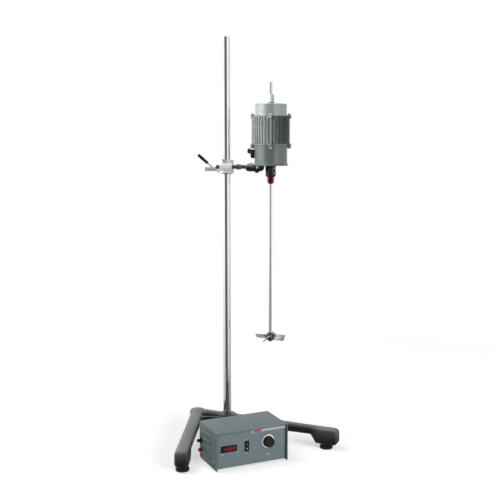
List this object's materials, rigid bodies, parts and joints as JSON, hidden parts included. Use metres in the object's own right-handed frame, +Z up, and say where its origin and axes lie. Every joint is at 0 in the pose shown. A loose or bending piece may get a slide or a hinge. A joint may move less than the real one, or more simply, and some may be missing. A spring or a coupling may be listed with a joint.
{
  "type": "laboratory stirrer",
  "caption": "Overhead laboratory stirrer: finned motor with hollow spindle and chuck on a boss head, tall column, cast V base, and separate speed controller with display, switch and knob.",
  "frame": {"origin": "centre of the footprint's bounding box, on the bench", "axes": "+Z up along the column, front (legs and control panel) towards -Y"},
  "size_m": [0.5306, 0.3972, 1.25],
  "materials": {
    "base_paint": "dark grey textured stove paint on iron",
    "stainless": "polished stainless steel",
    "zinc": "bright zinc-plated steel",
    "chrome": "polished chrome plate",
    "arm_steel": "brownish oiled steel",
    "black_steel": "satin black",
    "rubber": "matte black rubber",
    "motor_paint": "semi-gloss greenish grey enamel",
    "cap_paint": "light silvery grey enamel",
    "ferrite": "dull dark grey",
    "laminations": "varnished steel laminations",
    "copper": "turned copper bars",
    "white_plastic": "white insulating plastic",
    "red_paint": "glossy red anodised-look paint",
    "red_plastic": "glossy red plastic",
    "cabinet_paint": "slate grey fine-texture powder coat",
    "smoked_lens": "smoked red acrylic",
    "red_lens": "translucent red lens",
    "black_plastic": "moulded black plastic",
    "aluminium_dial": "satin anodised dial ring",
    "board_green": "green circuit board with its components",
    "carbon": "pressed carbon"
  },
  "bodies": {
    "root": {"base_casting": "base_paint", "column": "stainless", "column_washer": "zinc", "column_nut": "zinc", "foot_left": "rubber", "foot_right": "rubber", "foot_rear": "rubber", "cabinet_cover": "cabinet_paint", "cabinet_pan": "cabinet_paint", "display_window": "smoked_lens", "lamp_bezel": "white_plastic", "lamp_lens": "red_lens", "switch_housing": "black_plastic", "dial_ring": "aluminium_dial", "speed_control": "zinc", "transformer": "laminations", "circuit_board": "board_green", "mains_gland": "black_plastic", "fuse_holder": "red_plastic"},
    "carriage": {"column_bush": "zinc"},
    "boss": {"boss_head": "chrome"},
    "clamp": {"clamp_screw": "chrome", "clamp_lever": "zinc", "lever_grip": "black_plastic"},
    "arm_lock": {"arm_screw": "zinc"},
    "arm": {"arm_rod": "arm_steel", "arm_collar": "arm_steel"},
    "head": {"motor_bracket": "black_steel", "bracket_bolt_front": "zinc", "bracket_bolt_rear": "zinc", "lower_bell": "motor_paint", "finned_frame": "motor_paint", "upper_cap": "cap_paint", "tie_bolt_1": "zinc", "tie_bolt_2": "zinc", "tie_bolt_3": "zinc", "tie_bolt_4": "zinc", "magnet_front": "ferrite", "magnet_rear": "ferrite", "bearing_lower": "stainless", "bearing_upper": "stainless", "brush_right": "carbon", "brush_left": "carbon", "brush_holder_right": "black_plastic", "brush_holder_left": "black_plastic", "terminal_block": "black_plastic", "motor_gland": "black_plastic"},
    "rotor": {"hollow_spindle": "stainless", "armature": "laminations", "commutator": "copper", "spindle_collar": "white_plastic", "chuck_body": "black_steel", "collet": "zinc"},
    "nut": {"chuck_nut": "red_paint"},
    "stirring": {"stirrer_rod": "stainless", "impeller": "stainless"},
    "rocker": {"switch_rocker": "black_plastic"},
    "knob": {"speed_knob": "black_plastic"}
  },
  "joints": [
    {"name": "carriage_slide", "type": "slide", "parent": "root", "child": "carriage", "axis": [0, 0, 1], "range_m": [-0.15, 0.35]},
    {"name": "boss_swing", "type": "hinge", "parent": "carriage", "child": "boss", "pos_m": [-0.00082, 0.0975, 0.857], "axis": [0, 0, 1], "range_deg": [-110, 20]},
    {"name": "clamp_turn", "type": "hinge", "parent": "boss", "child": "clamp", "pos_m": [-0.00082, 0.0975, 0.8495], "axis": [0.8949, -0.4462, 0], "range_deg": [-120, 120]},
    {"name": "arm_lock_turn", "type": "hinge", "parent": "boss", "child": "arm_lock", "pos_m": [-0.01959, 0.0778, 0.87], "axis": [0, 0, 1], "range_deg": [-180, 180]},
    {"name": "arm_slide", "type": "slide", "parent": "boss", "child": "arm", "axis": [0.8949, -0.4462, 0], "range_m": [-0.009, 0.01]},
    {"name": "head_tilt", "type": "hinge", "parent": "arm", "child": "head", "pos_m": [-0.01243, 0.07423, 0.857], "axis": [0.8949, -0.4462, 0], "range_deg": [-15, 15]},
    {"name": "spindle_spin", "type": "hinge", "parent": "head", "child": "rotor", "pos_m": [0.11018, 0.0131, 0.93], "axis": [0, 0, 1], "continuous": true},
    {"name": "chuck_nut_turn", "type": "hinge", "parent": "rotor", "child": "nut", "pos_m": [0.11018, 0.0131, 0.815], "axis": [0, 0, 1], "range_deg": [-180, 180]},
    {"name": "rod_lift", "type": "slide", "parent": "rotor", "child": "stirring", "axis": [0, 0, 1], "range_m": [-0.03, 0.35]},
    {"name": "power_rocker", "type": "hinge", "parent": "root", "child": "rocker", "pos_m": [-0.05843, -0.1827, 0.0615], "axis": [1, 0, 0], "range_deg": [-8, 8]},
    {"name": "speed_turn", "type": "hinge", "parent": "root", "child": "knob", "pos_m": [0.00907, -0.1825, 0.067], "axis": [0, -1, 0], "range_deg": [-135, 135]}
  ]
}
